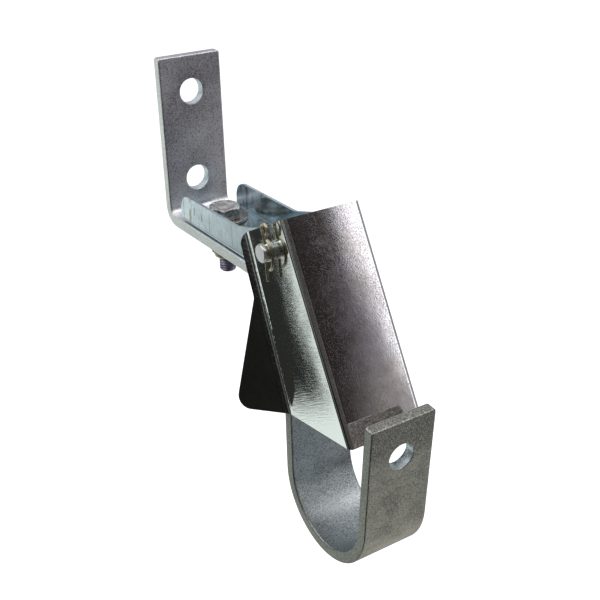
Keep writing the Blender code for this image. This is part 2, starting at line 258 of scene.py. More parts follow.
def rounded(corners, steps=8):
    """(a, b, radius) corners of a closed outline, each radius drawn as an arc."""
    points = []
    for i, (a, b, radius) in enumerate(corners):
        here = Vector((a, b))
        before = (Vector(corners[i - 1][:2]) - here).normalized()
        after = (Vector(corners[(i + 1) % len(corners)][:2]) - here).normalized()
        if radius == 0:
            points.append((a, b))
            continue
        half = before.angle(after) / 2
        reach = radius / math.tan(half)
        centre = here + (before + after).normalized() * radius / math.sin(half)
        start = here + before * reach - centre
        sweep = start.angle_signed(here + after * reach - centre)
        for k in range(steps + 1):
            angle = -sweep * k / steps
            turn = Vector((
                start.x * math.cos(angle) - start.y * math.sin(angle),
                start.x * math.sin(angle) + start.y * math.cos(angle),
            ))
            points.append(tuple(centre + turn))
    return points


def ring_profile(inner, outer, low, high, edge=0.25):
    """The (radius, height) section of a ring whose four edges are rounded."""
    corners = [(inner, low, edge), (outer, low, edge), (outer, high, edge), (inner, high, edge)]
    return rounded(corners, steps=4)


def set_mm(obj, x, y, z, turn=(0, 0, 0)):
    obj.location = Vector((x, y, z)) * MM
    obj.rotation_euler = turn
    return obj


def bevelled(obj, width, segments=3, angle=40):
    made = obj.modifiers.new("edge", "BEVEL")
    made.width = width * MM
    made.segments = segments
    made.limit_method = "ANGLE"
    made.angle_limit = math.radians(angle)
    made.use_clamp_overlap = True


def boolean(target, other, operation="DIFFERENCE"):
    made = target.modifiers.new(other.name, "BOOLEAN")
    made.operation = operation
    made.solver = "EXACT"
    made.object = other


def hole_cutter(name, radius, thick, chamfer=0.5, sides=96):
    """A cutter about its own Z axis for a hole through thick, with both rims chamfered."""
    half = thick / 2
    far = half + 3.0
    flare = chamfer + 3.0
    profile = [
        (0, -far),
        (radius + flare, -far),
        (radius, -half + chamfer),
        (radius, half - chamfer),
        (radius + flare, far),
        (0, far),
    ]
    return turned(name, profile, sides)


def rod_cutter(name, radius, reach, sides=96):
    """A plain cutter about its own Z axis, reaching the same way to both sides."""
    return turned(name, [(0, -reach), (radius, -reach), (radius, reach), (0, reach)], sides)


def cut_pin_hole(obj, name):
    """Cuts the pin's hole through both sides of the sheet piece."""
    boolean(obj, set_mm(rod_cutter(name, PIN_HOLE_RADIUS, THROUGH), *PIN.xyz, (0, math.pi / 2, 0)))


def settle(obj):
    """Applies the object's modifiers, weights its normals by face area, and removes its cutters."""
    cutters = [m.object for m in obj.modifiers if m.type == "BOOLEAN"]
    weights = obj.modifiers.new("weights", "WEIGHTED_NORMAL")
    weights.keep_sharp = True
    bpy.context.view_layer.update()
    graph = bpy.context.evaluated_depsgraph_get()
    mesh = bpy.data.meshes.new_from_object(obj.evaluated_get(graph), depsgraph=graph)
    obj.modifiers.clear()
    obj.data = mesh
    for cutter in set(cutters):
        bpy.data.objects.remove(cutter, do_unlink=True)
    return obj


def finish_piece(obj, body, slot, *nodes):
    settle(obj)
    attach(obj, body)
    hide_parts(*nodes)
    return obj


# ---------------------------------------------------------------- the bar


def bar_outline():
    """The bar's side view: a centre line of runs and bends, offset by half the thickness to each side."""
    half = BAR_THICK / 2
    middle = BEND_INSIDE + half
    arm_z = ARM_TOP - half
    leg_y = HOOK_BACK - half
    run = [
        ("line", BAR_HIGH.z - arm_z - middle),
        ("bend", middle, -math.pi / 2, CORNER_STEPS),
        ("line", -half - middle - (leg_y + middle)),
        ("bend", middle, math.pi / 2, CORNER_STEPS),
        ("line", arm_z - middle - HOOK_CENTRE_Z),
        ("bend", HOOK_INSIDE + half, -HOOK_TURN, HOOK_STEPS),
        ("line", HOOK_TIP),
    ]
    point = Vector((-half, BAR_HIGH.z))
    heading = -math.pi / 2
    stations = [(point.copy(), heading)]
    for move in run:
        if move[0] == "line":
            point = point + Vector((math.cos(heading), math.sin(heading))) * move[1]
            stations.append((point.copy(), heading))
            continue
        _, radius, turn, steps = move
        side = math.copysign(1, turn)
        centre = point + Vector((-math.sin(heading), math.cos(heading))) * radius * side
        for _ in range(steps):
            heading += turn / steps
            point = centre - Vector((-math.sin(heading), math.cos(heading))) * radius * side
            stations.append((point.copy(), heading))
    left = [tuple(p + Vector((-math.sin(h), math.cos(h))) * half) for p, h in stations]
    right = [tuple(p - Vector((-math.sin(h), math.cos(h))) * half) for p, h in stations]
    return left + right[::-1], stations[-1]


def round_end_corners(obj, ends):
    """Rounds the bar's end corners, which are the short edges at x = +-half near each of the ends."""
    bm = bmesh.new()
    bm.from_mesh(obj.data)
    found = []
    for edge in bm.edges:
        a, b = (v.co / MM for v in edge.verts)
        level = abs(a.x - b.x) < 0.01 and abs(a.x) > 1
        near = any((Vector((0, *end)) - Vector((0, *(a + b).yz / 2))).length < 1 for end in ends)
        if level and near and abs((a - b).length - BAR_THICK) < 0.1:
            found.append(edge)
    bmesh.ops.bevel(bm, geom=found, offset=CORNER_ROUND * MM, segments=6, affect="EDGES", profile=0.5)
    bm.to_mesh(obj.data)
    bm.free()


def make_bar(look):
    outline, (tip, heading) = bar_outline()
    bar = prism("hook_bar_fine", outline, BAR_LOW.x, BAR_HIGH.x, across_x, look)
    round_end_corners(bar, [(-BAR_THICK / 2, BAR_HIGH.z), tuple(tip)])
    bevelled(bar, BAR_EDGE, segments=4, angle=50)
    flat = (math.pi / 2, 0, 0)
    for name, z in (("upper_hole", WALL_HOLE_Z), ("lower_hole", -WALL_HOLE_Z)):
        cutter = hole_cutter(name, MOUNT_HOLE_RADIUS, BAR_THICK)
        boolean(bar, set_mm(cutter, 0, -BAR_THICK / 2, z, flat))
    cutter = hole_cutter("arm_hole", BOLT_HOLE_RADIUS, BAR_THICK)
    boolean(bar, set_mm(cutter, 0, BOLT_Y, ARM_TOP - BAR_THICK / 2))
    hole = tip - Vector((math.cos(heading), math.sin(heading))) * TIP_HOLE_DOWN
    cutter = hole_cutter("tip_hole", MOUNT_HOLE_RADIUS, BAR_THICK)
    boolean(bar, set_mm(cutter, 0, hole.x, hole.y, (heading, 0, 0)))
    finish_piece(bar, "bracket", "bar_zinc", "hook_bar")


# ---------------------------------------------------------------- the channel


def channel_section():
    """Cross-section (x, z) of the channel: a web with two flanges, drawn taller than they end up."""
    half = CHANNEL_HIGH.x
    high = EAR_TOP + FLANGE_SPARE
    inner = half - SHEET
    inner_bend = CHANNEL_BEND - SHEET
    outer_corners = [
        (-half, high, 0),
        (-half, CHANNEL_BASE, CHANNEL_BEND),
        (half, CHANNEL_BASE, CHANNEL_BEND),
        (half, high, 0),
    ]
    inner_corners = [
        (inner, high, 0),
        (inner, CHANNEL_BASE + SHEET, inner_bend),
        (-inner, CHANNEL_BASE + SHEET, inner_bend),
        (-inner, high, 0),
    ]
    return rounded(outer_corners + inner_corners, steps=8)


def channel_side():
    """Side view (y, z) of the flanges: low at the rear, rising to the ears that hold the pin."""
    stop = PIN_TO_WEB - SHEET - REST_GAP
    front = Vector((-math.cos(GATE_LEAN), math.sin(GATE_LEAN)))
    up = Vector((math.sin(GATE_LEAN), math.cos(GATE_LEAN)))
    upper = PIN.yz + front * stop + up * EAR_EDGE
    nose = []
    for k in range(FOLD_STEPS + 1):
        angle = GATE_LEAN * k / FOLD_STEPS
        nose.append((*(PIN.yz + Vector((-math.cos(angle), math.sin(angle))) * stop), 0))
    low = ARM_TOP - 2
    return rounded(
        [
            (CHANNEL_HIGH.y, low, 0),
            (CHANNEL_HIGH.y, FLANGE_TOP, FLANGE_END_ROUND),
            (EAR_RISE_Y, FLANGE_TOP, EAR_RISE_ROUND),
            (PIN.y - EAR_BACK, EAR_TOP, EAR_TOP_ROUND),
            (upper.x, upper.y, 0),
            *reversed(nose),
            (CHANNEL_FRONT, PIN.z - 10, 0),
            (CHANNEL_FRONT, low, 0),
        ],
        steps=12,
    )


def make_channel(look):
    front = CHANNEL_LOW.y - CHANNEL_SPARE
    channel = prism("pivot_channel_fine", channel_section(), CHANNEL_HIGH.y, front, along_y, look)
    side = prism("side_shape", channel_side(), -THROUGH, THROUGH, across_x)
    boolean(channel, side, "INTERSECT")
    bevelled(channel, SHEET_EDGE, segments=2, angle=60)
    cut_pin_hole(channel, "ear_holes")
    cutter = hole_cutter("channel_bolt_hole", BOLT_HOLE_RADIUS, SHEET, chamfer=0.2)
    boolean(channel, set_mm(cutter, 0, BOLT_Y, CHANNEL_BASE + SHEET / 2))
    finish_piece(channel, "bracket", "channel_zinc", "pivot_channel")


# ---------------------------------------------------------------- the gate


class GateBlank:
    """The gate as a flat blank and its folds. q runs across it, s down it from the pin, both in mm."""

    bend_start = GATE_HALF - GATE_BEND
    bend_arc = GATE_BEND * math.pi / 2
    side_start = bend_start + bend_arc
    wing_point = (44.4, 29.8)  # behind the web's front face, and below the pin
    wing_slope = math.radians(5.9)
    wing_arc = WING_BEND * WING_ANGLE

    def __init__(self):
        self.down = Vector((math.sin(self.wing_slope), math.cos(self.wing_slope)))
        self.out = Vector((self.down.y, -self.down.x))

    def on_blank(self, behind):
        """q of a place on the side panel that is this far behind the web's front face."""
        return self.side_start + behind - GATE_BEND

    def wing(self, across, along):
        """Blank coordinates of a place on the wing, measured from its fold."""
        base = Vector((self.on_blank(self.wing_point[0]), self.wing_point[1]))
        return tuple(base + self.out * across + self.down * along)

    def outline(self):
        """Half of the blank, from the top middle round to the bottom middle, as rounded() takes it."""
        return [
            (self.bend_start, -GATE_TOP, 0),
            (*self.wing(WING_TOP_WIDTH, WING_TOP), 6.5),
            (*self.wing(WING_TOP_WIDTH, WING_FLARE), 5.0),
            (*self.wing(*WING_CORNER), 7.0),
            (self.on_blank(0), GATE_TIP, 0),
        ]

    def fold(self, q, s):
        """The folded place, as (x, behind the web's front face, s)."""
        side = math.copysign(1, q)
        q = abs(q)
        if q <= self.bend_start:
            return side * q, 0.0, s
        if q < self.side_start:
            angle = (q - self.bend_start) / GATE_BEND
            x = self.bend_start + GATE_BEND * math.sin(angle)
            return side * x, GATE_BEND * (1 - math.cos(angle)), s
        x = GATE_HALF
        spot = Vector((GATE_BEND + q - self.side_start, s))
        base = Vector(self.wing_point)
        across = (spot - base).dot(self.out)
        along = (spot - base).dot(self.down)
        past = across + self.wing_arc / 2
        if past > 0:
            angle = min(past, self.wing_arc) / WING_BEND
            straight = max(past - self.wing_arc, 0)
            across = -self.wing_arc / 2 + WING_BEND * math.sin(angle) + straight * math.cos(WING_ANGLE)
            x += WING_BEND * (1 - math.cos(angle)) + straight * math.sin(WING_ANGLE)
            spot = base + self.out * across + self.down * along
        return side * x, spot.x, spot.y


def make_gate(look):
    blank = GateBlank()
    half = rounded(blank.outline() + [(0, GATE_TIP, 0), (0, -GATE_TOP, 0)], steps=10)[:-2]
    loop = half + [(-q, s) for q, s in reversed(half)]
    bm = bmesh.new()
    bm.faces.new([bm.verts.new((q, 0, -s)) for q, s in reversed(loop)])
    cuts = []
    for side in (1, -1):
        for k in range(FOLD_STEPS + 1):
            q = blank.bend_start + blank.bend_arc * k / FOLD_STEPS
            cuts.append(((side * q, 0, 0), (side, 0, 0)))
        for k in range(FOLD_STEPS + 1):
            q, s = blank.wing(-blank.wing_arc / 2 + blank.wing_arc * k / FOLD_STEPS, 0)
            cuts.append(((side * q, 0, -s), (side * blank.out.x, 0, -blank.out.y)))
    for point, normal in cuts:
        geometry = bm.verts[:] + bm.edges[:] + bm.faces[:]
        bmesh.ops.bisect_plane(bm, geom=geometry, dist=1e-5, plane_co=point, plane_no=normal)
    for vert in bm.verts:
        x, behind, s = blank.fold(vert.co.x, -vert.co.z)
        vert.co = Vector((x, behind - PIN_TO_WEB, -s)) * MM
    bm.normal_update()
    gate = set_mm(mesh_object("gate_fine", bm, look), 0, PIN.y, PIN.z, (-GATE_LEAN, 0, 0))
    sheet = gate.modifiers.new("sheet", "SOLIDIFY")
    sheet.thickness = SHEET * MM
    sheet.offset = -1
    sheet.use_even_offset = True
    bevelled(gate, SHEET_EDGE, segments=2, angle=60)
    cut_pin_hole(gate, "gate_pin_holes")
    finish_piece(gate, "gate", "gate_zinc", "gate")


# ---------------------------------------------------------------- pin, clip and spring


def make_pin(look):
    head_radius = (PIN_HIGH.z - PIN_LOW.z) / 2
    grip_end = PIN_HIGH.x - PIN_HEAD
    profile = rounded(
        [
            (0, PIN_LOW.x, 0),
            (PIN_RADIUS, PIN_LOW.x, 0.9),
            (PIN_RADIUS, grip_end, 0),
            (head_radius, grip_end, 0.3),
            (head_radius, PIN_HIGH.x, 0.8),
            (0, PIN_HIGH.x, 0),
        ],
        steps=5,
    )
    pin = set_mm(turned("clevis_pin_fine", profile, look=look), 0, PIN.y, PIN.z, (0, math.pi / 2, 0))
    rod = rod_cutter("clip_hole", CLIP_WIRE + CLIP_HOLE_GAP, CLIP_HOLE_REACH, sides=32)
    boolean(pin, set_mm(rod, CLIP_X, PIN.y, PIN.z, (-CLIP_LEAN, 0, 0)))
    finish_piece(pin, "bracket", "fastener_zinc", "clevis_pin")


def smooth_run(points, steps):
    """Points along a Catmull-Rom curve through the given ones."""
    ends = [points[0] * 2 - points[1], *points, points[-1] * 2 - points[-2]]
    found = []
    for p0, p1, p2, p3 in zip(ends, ends[1:], ends[2:], ends[3:]):
        for k in range(steps):
            t = k / steps
            slope = (p2 - p0) * t
            square = (2 * p0 - 5 * p1 + 4 * p2 - p3) * t**2
            cube = (3 * p1 - p0 - 3 * p2 + p3) * t**3
            found.append(0.5 * (2 * p1 + slope + square + cube))
    return [*found, points[-1]]


def wire(name, points, radius, look):
    """A round wire along points in mm, as a mesh with rounded-off ends."""
    data = bpy.data.curves.new(name, "CURVE")
    data.dimensions = "3D"
    data.bevel_depth = radius * MM
    data.bevel_resolution = 5
    data.use_fill_caps = True
    spline = data.splines.new("POLY")
    cut = WIRE_END_CUT * radius
    points = [Vector(p) for p in points]
    first = (points[1] - points[0]).normalized() * cut
    last = (points[-2] - points[-1]).normalized() * cut
    points = [points[0], points[0] + first, *points[1:-1], points[-1] + last, points[-1]]
    spline.points.add(len(points) - 1)
    for i, (spot, point) in enumerate(zip(spline.points, points)):
        spot.co = (*(point * MM), 1)
        spot.radius = WIRE_END_RADIUS if i in (0, len(points) - 1) else 1.0
    curve = place(name + "_line", data, None)
    bpy.context.view_layer.update()
    graph = bpy.context.evaluated_depsgraph_get()
    mesh = bpy.data.meshes.new_from_object(curve.evaluated_get(graph), depsgraph=graph)
    bpy.data.objects.remove(curve, do_unlink=True)
    mesh.shade_smooth()
    mesh.set_sharp_from_angle(angle=WIRE_SHARP)
    return place(name, mesh, look)


def make_clip(look):
    """The hairpin clip, drawn as (down, forward) from the pin's centre in the plane of its cross hole."""
    loop_down, loop_forward, loop_radius = CLIP_LOOP
    loop = []
    for degrees in range(215, -61, -25):
        angle = math.radians(degrees)
        down = loop_down - loop_radius * math.sin(angle)
        loop.append((down, loop_forward + loop_radius * math.cos(angle)))
    straight = [(15.0, 0), (8.0, 0), (0, 0), (-6.5, 0)]
    waist = [(-7.0, 2.3), (-5.2, 4.7)]
    hug = [(-2.4, 6.3), (1.2, 6.6), (4.8, 6.1), (7.4, 4.5), (8.4, 2.6)]
    down = Vector((0, -math.sin(CLIP_LEAN), -math.cos(CLIP_LEAN)))
    forward = Vector((0, -math.cos(CLIP_LEAN), math.sin(CLIP_LEAN)))
    centre = Vector((CLIP_X, PIN.y, PIN.z))
    keys = [centre + down * a + forward * b for a, b in straight + loop + waist + hug]
    clip = wire("hairpin_clip_fine", smooth_run(keys, 8), CLIP_WIRE, look)
    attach(clip, "bracket")
    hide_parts("hairpin_clip")


def make_spring(look):
    """The torsion spring. It winds between the bracket, at its rear leg, and the gate, at its front leg."""
    first, rear_leg = SPRING_REAR_LEG
    last, front_leg = SPRING_FRONT_LEG
    turn = last - first + SPRING_TURNS * 2 * math.pi
    steps = SPRING_STEPS * SPRING_TURNS

    def at(angle, x, run=0.0):
        y = SPRING_RADIUS * math.cos(angle) - run * math.sin(angle)
        z = SPRING_RADIUS * math.sin(angle) + run * math.cos(angle)
        return (x, PIN.y + y, PIN.z + z)

    points = [at(first, -SPRING_HALF, -rear_leg)]
    for k in range(steps + 1):
        points.append(at(first + turn * k / steps, SPRING_HALF * (2 * k / steps - 1)))
    points.append(at(last, SPRING_HALF, front_leg))
    spring = wire("torsion_spring_fine", points, SPRING_WIRE, look)
    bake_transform(spring)
    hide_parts("torsion_spring")


# ---------------------------------------------------------------- the bolt


def hexagon(name, low, high):
    """A hexagonal bar about the bolt's axis, which cuts a turned shape to its flats."""
    radius = HEX_FLATS / math.sqrt(3)
    angles = [math.pi * k / 3 for k in range(6)]
    corners = [(radius * math.cos(angle), radius * math.sin(angle)) for angle in angles]
    return set_mm(prism(name, corners, low, high, up_z), 0, BOLT_Y, 0)


def threaded_rod(name, low, high, look):
    """A rod about the bolt's axis with a real helical thread, tapered at its lower end."""
    sides = THREAD_SIDES
    rows = int((high - low) / THREAD_PITCH * THREAD_ROWS)
    bm = bmesh.new()
    rings = []
    for k in range(rows + 1):
        z = low + (high - low) * k / rows
        ring = []
        for i in range(sides):
            phase = (z / THREAD_PITCH - i / sides) % 1.0
            ridge = 1 - abs(2 * phase - 1)
            depth = THREAD_DEPTH * (1 - min(max(1.6 * ridge - 0.3, 0.0), 1.0))
            taper = max(0.0, 1.0 - (z - low) / THREAD_RUNOUT)
            radius = min(THREAD_RADIUS - depth, THREAD_RADIUS - THREAD_END_CUT * taper)
            angle = 2 * math.pi * i / sides
            point = Vector((radius * math.cos(angle), radius * math.sin(angle), z))
            ring.append(bm.verts.new(point * MM))
        rings.append(ring)
    for lower, upper in zip(rings, rings[1:]):
        for i in range(sides):
            j = (i + 1) % sides
            bm.faces.new([lower[i], lower[j], upper[j], upper[i]])
    bm.faces.new(rings[0][::-1])
    bm.faces.new(rings[-1])
    rod = mesh_object(name, bm, look)
    rod.data.set_sharp_from_angle(angle=THREAD_SHARP)
    return set_mm(rod, 0, BOLT_Y, 0)


def make_bolt(bolt_look, thread_look):
    """The bolt's head and plain shank as one piece, and its thread as another."""
    flat, corner = HEX_FLATS / 2, HEX_FLATS / math.sqrt(3)
    top = BOLT_HIGH.z
    head_low = top - HEAD_HEIGHT
    shank, shank_end = THREAD_RADIUS - SHANK_CUT, head_low - SHANK_LENGTH
    face, face_low = flat - 0.3, head_low - 0.25  # the round face under the head
    head = turned(
        "bolt_head",
        [
            (0, shank_end),
            (shank, shank_end),
            (shank, face_low),
            (face, face_low),
            (face, head_low),
            (corner, head_low + 0.1),
            (corner, top - 1.25),
            (flat - 0.2, top - 0.12),
            (flat - 0.7, top),
            (0, top - 0.1),
        ],
        look=bolt_look,
    )
    set_mm(head, 0, BOLT_Y, 0)
    boolean(head, hexagon("head_hex", head_low - 8, top + HEX_SPARE), "INTERSECT")
    bevelled(head, 0.25, segments=2, angle=30)
    finish_piece(head, "bracket", "fastener_zinc", "arm_bolt")
    thread = threaded_rod("bolt_thread", BOLT_LOW.z, shank_end + THREAD_OVERLAP, thread_look)
    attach(thread, "bracket")


def make_ring(node, inner, edge, slot, look):
    """A washer or the nut's nylon ring, as wide and as thick as its CAD node."""
    low, high = box_mm(node)
    outer = (high.x - low.x) / 2
    section = ring_profile(inner, outer, low.z, high.z, edge)
    ring = turned(node + "_fine", section, look=look)
    finish_piece(set_mm(ring, 0, BOLT_Y, 0), "bracket", slot, node)


def make_nut(look):
    flat, corner = HEX_FLATS / 2, HEX_FLATS / math.sqrt(3)
    low, high = box_mm("lock_nut")
    collar = COLLAR_RADIUS
    bore = THREAD_RADIUS + 0.25
    chamfer = 1.1
    pocket, pocket_low, pocket_high = 6.2, low.z + 0.9, low.z + 2.9  # where the nylon ring sits
    hex_low = low.z + COLLAR_HEIGHT
    nut = turned(
        "lock_nut_fine",
        [
            (bore + 0.5, high.z),
            (flat - 0.1, high.z),
            (corner, high.z - chamfer),
            (corner, hex_low + chamfer),
            (flat - 0.1, hex_low + 0.05),
            (collar, hex_low),
            (collar, low.z + 1.3),
            (collar - 0.35, low.z + 0.5),
            (collar - 1.0, low.z),
            (collar - 1.6, low.z + 0.1),
            (collar - 1.9, low.z + 0.7),
            (pocket, pocket_low),
            (pocket, pocket_high),
            (bore, pocket_high),
            (bore, high.z - 0.5),
        ],
        look=look,
    )
    set_mm(nut, 0, BOLT_Y, 0)
    boolean(nut, hexagon("nut_hex", low.z - HEX_SPARE, high.z + HEX_SPARE), "INTERSECT")
    bevelled(nut, 0.2, segments=2, angle=30)
    finish_piece(nut, "bracket", "nut_zinc", "lock_nut")


# ---------------------------------------------------------------- materials


NOISE_SPAN = (0.35, 0.65)  # the middle of a noise's range, which holds most of it


class Look:
    """A material built from nodes. Each call adds nodes and gives back the socket with their result."""

    def __init__(self, name):
        self.material = bpy.data.materials.new(name)
        self.material.use_nodes = True
        self.tree = self.material.node_tree
        self.shader = self.tree.nodes["Principled BSDF"]
        self.coords = self.add("ShaderNodeTexCoord").outputs["Object"]

    def add(self, kind, **settings):
        made = self.tree.nodes.new(kind)
        for key, value in settings.items():
            setattr(made, key, value)
        return made

    def feed(self, socket, value):
        if isinstance(value, bpy.types.NodeSocket):
            self.tree.links.new(value, socket)
        elif value is not None:
            socket.default_value = value

    def noise(self, scale, detail=3.0, rough=0.5, stretch=None, distort=0.0):
        coords = self.coords
        if stretch:
            mapping = self.add("ShaderNodeMapping")
            mapping.inputs["Scale"].default_value = stretch
            self.feed(mapping.inputs["Vector"], coords)
            coords = mapping.outputs["Vector"]
        made = self.add("ShaderNodeTexNoise")
        self.feed(made.inputs["Vector"], coords)
        self.feed(made.inputs["Scale"], scale)
        self.feed(made.inputs["Detail"], detail)
        self.feed(made.inputs["Roughness"], rough)
        self.feed(made.inputs["Distortion"], distort)
        return made.outputs["Fac"]

    def spread(self, value, low, high, to_low=0.0, to_high=1.0):
        made = self.add("ShaderNodeMapRange", interpolation_type="SMOOTHSTEP")
        for name, given in (("Value", value), ("From Min", low), ("From Max", high)):
            self.feed(made.inputs[name], given)
        self.feed(made.inputs["To Min"], to_low)
        self.feed(made.inputs["To Max"], to_high)
        return made.outputs["Result"]

    def sum(self, a, b, operation="ADD"):
        made = self.add("ShaderNodeMath", operation=operation)
        self.feed(made.inputs[0], a)
        self.feed(made.inputs[1], b)
        return made.outputs["Value"]

    def times(self, a, b):
        return self.sum(a, b, "MULTIPLY")

    def mix(self, factor, a, b):
        made = self.add("ShaderNodeMix", data_type="RGBA")
        sockets = [s for s in made.inputs if s.enabled]
        for socket, value in zip(sockets, (factor, a, b)):
            self.feed(socket, (*value, 1.0) if isinstance(value, tuple) else value)
        return next(s for s in made.outputs if s.enabled)

    def facing(self, axis):
        """How squarely the surface faces along the axis, either way, from 0 to 1."""
        geometry = self.add("ShaderNodeNewGeometry")
        parts = self.add("ShaderNodeSeparateXYZ")
        self.feed(parts.inputs[0], geometry.outputs["Normal"])
        return self.sum(parts.outputs[axis], None, "ABSOLUTE")

    def place(self, axis):
        parts = self.add("ShaderNodeSeparateXYZ")
        self.feed(parts.inputs[0], self.coords)
        return parts.outputs[axis]

    def bump(self, height, distance, strength=1.0, under=None):
        made = self.add("ShaderNodeBump")
        made.inputs["Strength"].default_value = strength
        made.inputs["Distance"].default_value = distance
        self.feed(made.inputs["Height"], height)
        if under:
            self.feed(made.inputs["Normal"], under)
        return made.outputs["Normal"]

    def done(self, colour, roughness, normal=None, metallic=1.0):
        self.feed(self.shader.inputs["Base Color"], (*colour, 1.0) if isinstance(colour, tuple) else colour)
        self.feed(self.shader.inputs["Roughness"], roughness)
        self.shader.inputs["Metallic"].default_value = metallic
        if normal:
            self.feed(self.shader.inputs["Normal"], normal)
        return self.material


def bar_look():
    """Satin, grainy zinc on heavy bar: a violet-grey wall leg, a bluish hook and an olive front leg, with a
    painted sheen on the wall leg's lower corner and on the edges high up, and painted shade at the hook's
    bottom, the front leg's top and the hook's edges.
    """
    look = Look("bar_zinc")
    # The leg's third colour is a painted sheen. The third colours of the hook and the front leg are painted
    # shade
    leg_dark, leg_light, leg_painted_sheen = (0.46, 0.44, 0.48), (0.66, 0.65, 0.69), (0.95, 0.94, 0.98)
    hook_dark, hook_light, hook_painted_shade = (0.40, 0.46, 0.48), (0.52, 0.58, 0.60), (0.22, 0.24, 0.23)
    front_dark, front_light, front_painted_shade = (0.32, 0.30, 0.235), (0.50, 0.48, 0.39), (0.17, 0.16, 0.12)
    grain_dark, grain_light = (0.13, 0.12, 0.13), (0.80, 0.81, 0.83)
    # The next two pairs are the painted sheen and the painted shade on the bar's edges
    side_painted_sheen_dark, side_painted_sheen_light = (0.66, 0.70, 0.68), (0.97, 1.0, 0.98)
    side_painted_shade_dark, side_painted_shade_light = (0.13, 0.135, 0.12), (0.34, 0.36, 0.32)
    bore_dark, bore_light = (0.52, 0.62, 0.66), (0.86, 0.92, 0.94)
    # Where one colour turns into the next, in metres: for the finishes, and for the painted sheen and painted
    # shade
    leg_z = (-0.09, -0.02)
    front_y = (-0.186, -0.193)
    painted_sheen_span = (-0.03, 0.045)
    front_shade_z = (-0.122, -0.100)
    hook_shade_z = (-0.160, -0.172)
    side_shade_z = (-0.06, -0.10)

    x, height = look.place("X"), look.place("Z")
    cloud = look.noise(45, 4, 0.6)
    stain = look.noise(70, 4, 0.6, distort=0.6)
    grain = look.noise(1300, 3, 0.7)
    speck = look.noise(3000, 2, 0.5)
    clouded = look.spread(cloud, *NOISE_SPAN)
    leg = look.mix(clouded, leg_dark, leg_light)
    # Painted sheen: the wall leg is painted lighter towards its lower corner at +x, standing in for a
    # reflection
    corner = look.spread(look.sum(x, look.times(height, -1.0)), *painted_sheen_span, 0.0, 0.9)
    leg = look.mix(corner, leg, leg_painted_sheen)
    hook = look.mix(clouded, hook_dark, hook_light)
    # Painted shade: the hook is painted darker at its bottom
    hook = look.mix(look.spread(height, *hook_shade_z, 0.0, 0.6), hook, hook_painted_shade)
    front = look.mix(look.spread(stain, 0.32, 0.68), front_dark, front_light)
    # Painted shade: the front leg is painted darker towards its top
    front = look.mix(look.spread(height, *front_shade_z, 0.0, 0.8), front, front_painted_shade)
    face = look.mix(look.spread(height, *leg_z), hook, leg)
    face = look.mix(look.spread(look.place("Y"), *front_y), face, front)
    face = look.mix(look.spread(grain, 0.46, 0.64, 0.0, 0.5), face, grain_light)
    face = look.mix(look.spread(grain, 0.50, 0.36, 0.0, 0.6), face, grain_dark)

    # The bar's edges, which face across X: a painted sheen high up, and painted shade on the hook
    grained = look.spread(grain, 0.38, 0.62)
    side_painted_sheen = look.mix(grained, side_painted_sheen_dark, side_painted_sheen_light)
    side_painted_shade = look.mix(grained, side_painted_shade_dark, side_painted_shade_light)
    edge = look.mix(look.spread(height, *side_shade_z), side_painted_sheen, side_painted_shade)
    colour = look.mix(look.spread(look.facing("X"), 0.55, 0.8), face, edge)

    # Inside the holes through the wall leg and the tip: not facing Y, and clear of the bar's edges and ends
    hole = look.times(look.spread(look.facing("Y"), 0.5, 0.3), look.spread(height, -0.13, -0.128))
    hole = look.times(hole, look.spread(look.sum(x, None, "ABSOLUTE"), 0.0080, 0.0078))
    from_tip = look.sum(look.sum(height, 0.0915), None, "ABSOLUTE")
    hole = look.times(hole, look.spread(from_tip, 0.003, 0.005))
    hole = look.times(hole, look.spread(height, 0.0440, 0.0430))
    bore = look.mix(look.spread(grain, 0.4, 0.6), bore_dark, bore_light)
    colour = look.mix(hole, colour, bore)

    rough = look.spread(grain, 0.3, 0.7, 0.28, 0.42)
    rough = look.sum(rough, look.spread(cloud, 0.4, 0.7, 0.0, 0.08))
    normal = look.bump(look.sum(grain, look.times(speck, 0.4)), 0.1 * MM, 0.6)
    pits = look.spread(look.noise(420, 2, 0.4), 0.62, 0.75)
    normal = look.bump(look.times(pits, -1.0), 0.1 * MM, 0.5, normal)
    return look.done(colour, rough, normal)


def channel_look():
    """Bright blue zinc on sheet, with brownish scuffs at the rear and scratches on the near flange."""
    look = Look("channel_zinc")
    zinc_dark, zinc_light = (0.55, 0.66, 0.72), (0.66, 0.77, 0.82)
    scuff_brown, scratch_grey = (0.27, 0.22, 0.17), (0.46, 0.44, 0.38)
    rear_y = (-0.075, -0.045)
    near_flange_x = (-0.017, -0.019)

    cloud = look.noise(60, 3, 0.5)
    brush = look.noise(60, 4, 0.6, stretch=(1, 3, 26))
    scuff = look.noise(150, 3, 0.6, stretch=(1, 1.4, 0.4), distort=1.5)
    scratch = look.noise(70, 3, 0.6, stretch=(1, 12, 0.8), distort=0.4)
    colour = look.mix(look.spread(cloud, *NOISE_SPAN), zinc_dark, zinc_light)
    at_rear = look.spread(look.place("Y"), *rear_y)
    colour = look.mix(look.times(look.spread(scuff, 0.56, 0.66, 0.0, 0.75), at_rear), colour, scuff_brown)
    near_flange = look.spread(look.place("X"), *near_flange_x)
    scratched = look.times(look.spread(scratch, 0.56, 0.66, 0.0, 0.5), near_flange)
    colour = look.mix(scratched, colour, scratch_grey)
    rough = look.spread(brush, 0.3, 0.7, 0.13, 0.24)
    normal = look.bump(brush, 0.03 * MM, 0.35)
    normal = look.bump(look.noise(700, 2, 0.5), 0.01 * MM, 0.35, normal)
    return look.done(colour, rough, normal)


